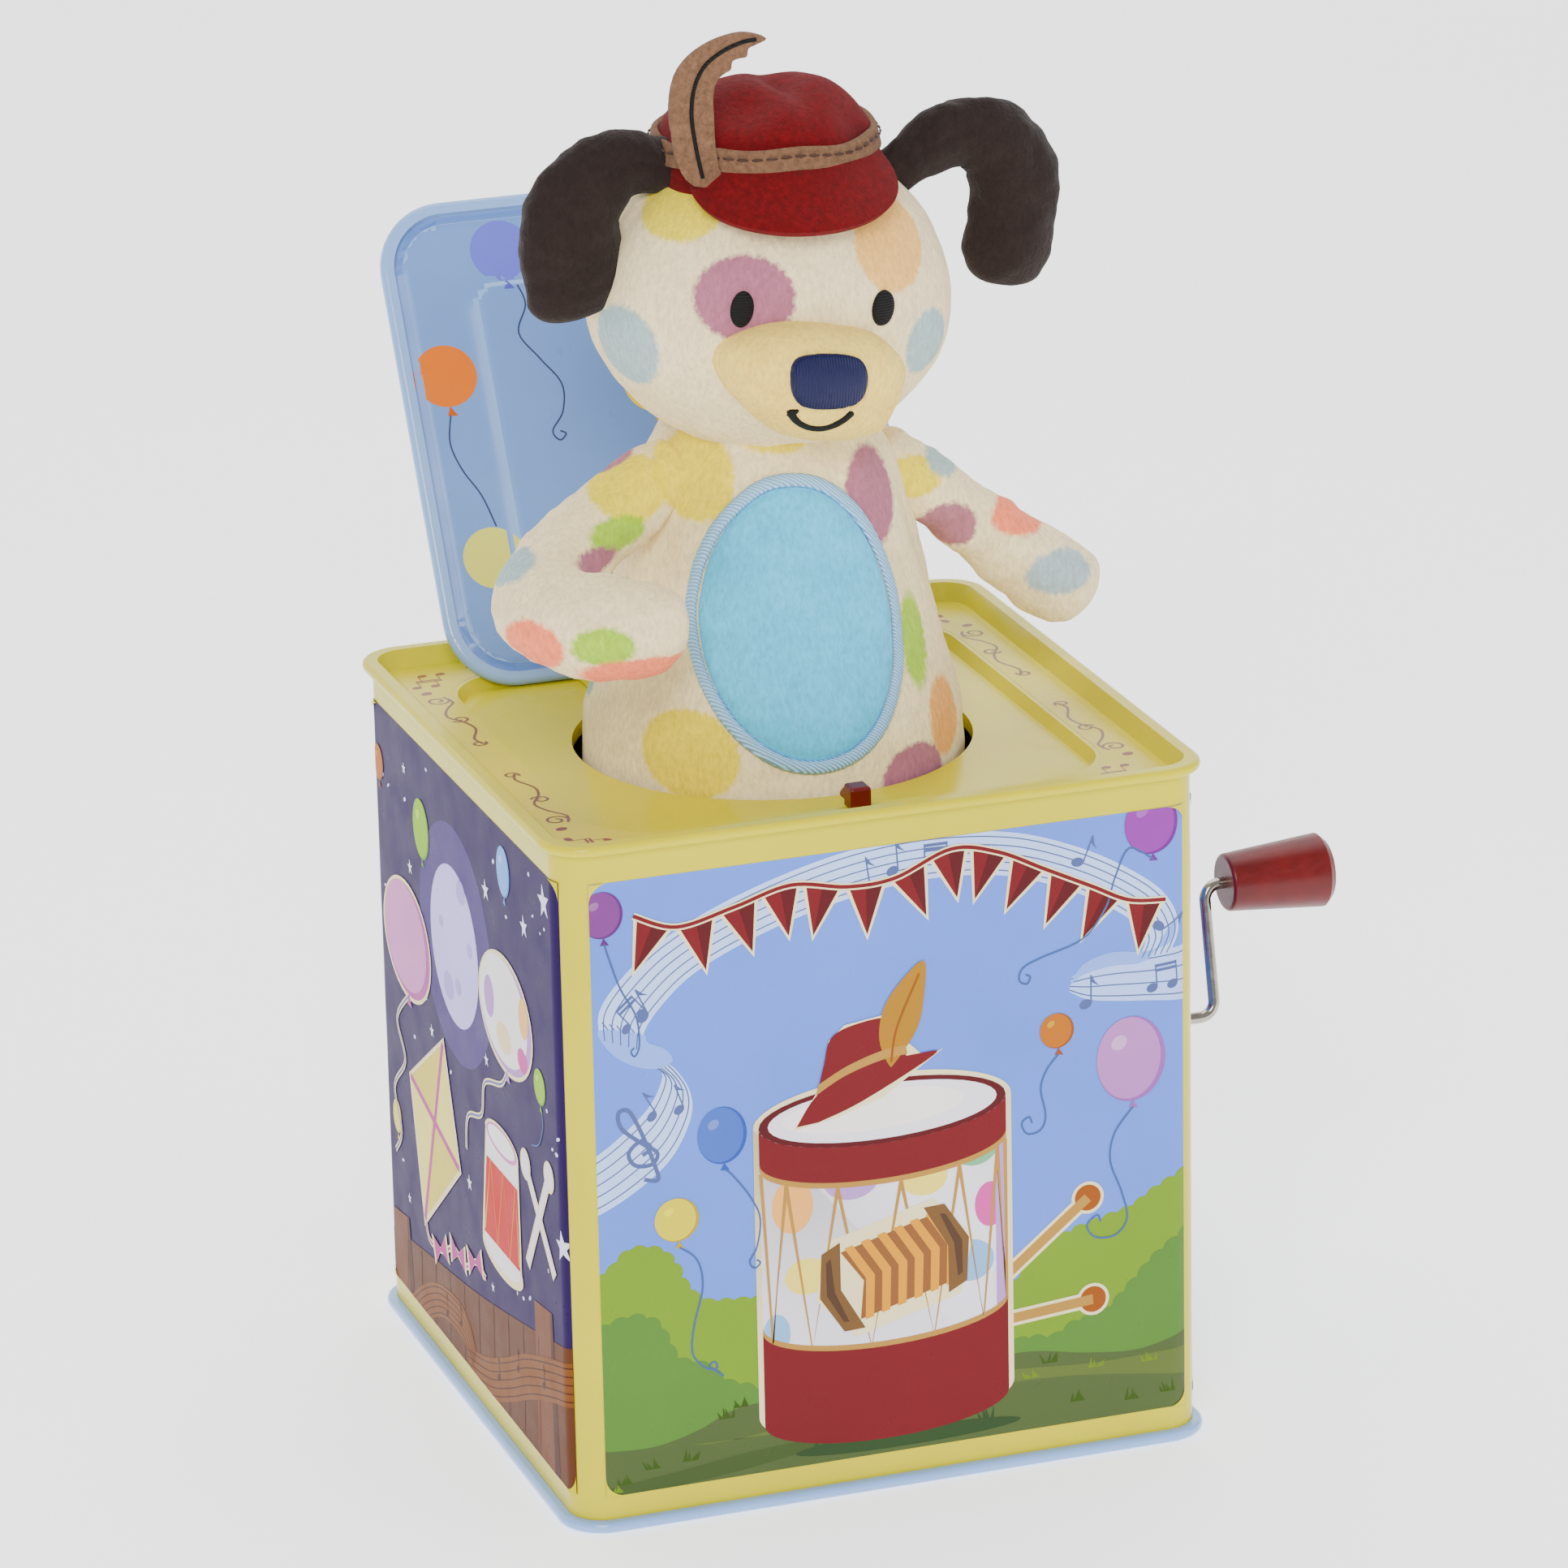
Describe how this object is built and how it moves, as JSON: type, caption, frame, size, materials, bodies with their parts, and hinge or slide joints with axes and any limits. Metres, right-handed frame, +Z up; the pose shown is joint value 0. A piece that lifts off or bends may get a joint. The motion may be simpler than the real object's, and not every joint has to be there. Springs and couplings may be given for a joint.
{
  "type": "jack in the box",
  "caption": "Square tin box with a side crank and hinged lid, a plush dog puppet in a felt hat standing out of its round hole.",
  "frame": {"origin": "centre of the square base on the surface it rests on", "axes": "+Z up, -Y the front with the latch, +Y the lid hinge, +X the crank side"},
  "size_m": [0.1965, 0.1736, 0.2959],
  "materials": {
    "printed_tin": "gloss lithographed tinplate, yellow with printed scenes",
    "rim_tin": "gloss light blue",
    "deck_tin": "gloss yellow",
    "lid_tin": "gloss light blue",
    "hinge_steel": "gloss yellow",
    "bright_steel": "bright drawn",
    "spring_steel": "dark drawn",
    "brass": "turned",
    "zinc": "as cast",
    "board": "plain grey board",
    "red_plastic": "gloss dark red",
    "dotted_plush": "cream short plush with coloured spots",
    "pale_plush": "pale yellow short plush",
    "blue_plush": "light blue short plush",
    "satin_thread": "light blue satin stitch",
    "nose_thread": "blue satin stitch",
    "black_thread": "black satin stitch",
    "brown_plush": "dark brown short plush",
    "red_felt": "red felt",
    "tan_felt": "tan felt"
  },
  "bodies": {
    "box": {"side_shell": "printed_tin", "bottom_plate": "rim_tin", "deck": "deck_tin", "hinge_leaf": "hinge_steel", "hinge_rivets": "bright_steel", "rod_clips": "bright_steel", "crank_bush": "brass", "movement_base": "zinc", "crank_bracket": "bright_steel", "comb": "spring_steel", "comb_screws": "brass", "movement_screws": "bright_steel", "spring_base": "bright_steel", "main_spring": "spring_steel", "hem_ring": "board", "torso_sleeve": "dotted_plush", "belly_patch": "blue_plush", "patch_border": "satin_thread"},
    "lid": {"lid": "lid_tin", "hinge_pin": "bright_steel"},
    "latch": {"latch_rod": "bright_steel", "latch_knob": "red_plastic", "latch_spring": "spring_steel"},
    "crank": {"crank": "bright_steel", "worm": "zinc", "knob_retainer": "bright_steel"},
    "knob": {"crank_knob": "red_plastic"},
    "drum": {"worm_wheel": "brass", "drum_shaft": "bright_steel", "pinned_drum": "brass", "release_cam": "brass"},
    "puppet": {"spring_cap": "board", "head": "dotted_plush", "muzzle": "pale_plush", "nose": "nose_thread", "eyes": "black_thread", "left_ear": "brown_plush", "right_ear": "brown_plush", "hat_crown": "red_felt", "hat_band": "tan_felt", "hat_brim": "red_felt", "feather": "tan_felt"},
    "left_arm": {"left_arm": "dotted_plush"},
    "right_arm": {"right_arm": "dotted_plush"}
  },
  "joints": [
    {"name": "puppet_slide", "type": "slide", "parent": "box", "child": "puppet", "axis": [0, 0, 1], "range_m": [-0.156, 0], "stiffness_N_per_m": 35, "springref_m": 0.05, "deforming": ["torso_sleeve", "belly_patch", "patch_border", "main_spring", "muzzle", "nose", "eyes", "left_ear", "right_ear", "hat_crown", "hat_band", "hat_brim", "feather", "left_arm", "right_arm"]},
    {"name": "lid_hinge", "type": "hinge", "parent": "box", "child": "lid", "pos_m": [0, 0.0515, 0.1424], "axis": [1, 0, 0], "range_deg": [0, 119.4]},
    {"name": "left_arm_swing", "type": "hinge", "parent": "puppet", "child": "left_arm", "pos_m": [-0.022, -0.006, 0.2], "axis": [0, 1, 0], "range_deg": [0, 80]},
    {"name": "right_arm_swing", "type": "hinge", "parent": "puppet", "child": "right_arm", "pos_m": [0.025, -0.004, 0.1985], "axis": [-0.385, 0.7856, -0.4843], "range_deg": [-100.5, 0]},
    {"name": "crank_turn", "type": "hinge", "parent": "box", "child": "crank", "pos_m": [0.08, 0, 0.0647], "axis": [1, 0, 0], "continuous": true},
    {"name": "drum_turn", "type": "hinge", "parent": "box", "child": "drum", "pos_m": [0.0563, -0.014, 0.0532], "axis": [0, 1, 0], "continuous": true},
    {"name": "knob_spin", "type": "hinge", "parent": "crank", "child": "knob", "pos_m": [0.115, 0.00632, 0.09208], "axis": [1, 0, 0], "continuous": true},
    {"name": "latch_swing", "type": "hinge", "parent": "box", "child": "latch", "pos_m": [0.024, -0.0574, 0.0638], "axis": [1, 0, 0], "range_deg": [0, 2.5], "stiffness_Nm_per_rad": 0.05, "springref_deg": -2.29, "deforming": ["latch_spring"]}
  ],
  "couplings": [
    {"joint": "lid_hinge", "follows": "puppet_slide", "rad_per_m": -13.358},
    {"joint": "left_arm_swing", "follows": "puppet_slide", "rad_per_m": -8.9495},
    {"joint": "right_arm_swing", "follows": "puppet_slide", "rad_per_m": 11.243},
    {"joint": "drum_turn", "follows": "crank_turn", "ratio": -0.055556}
  ]
}
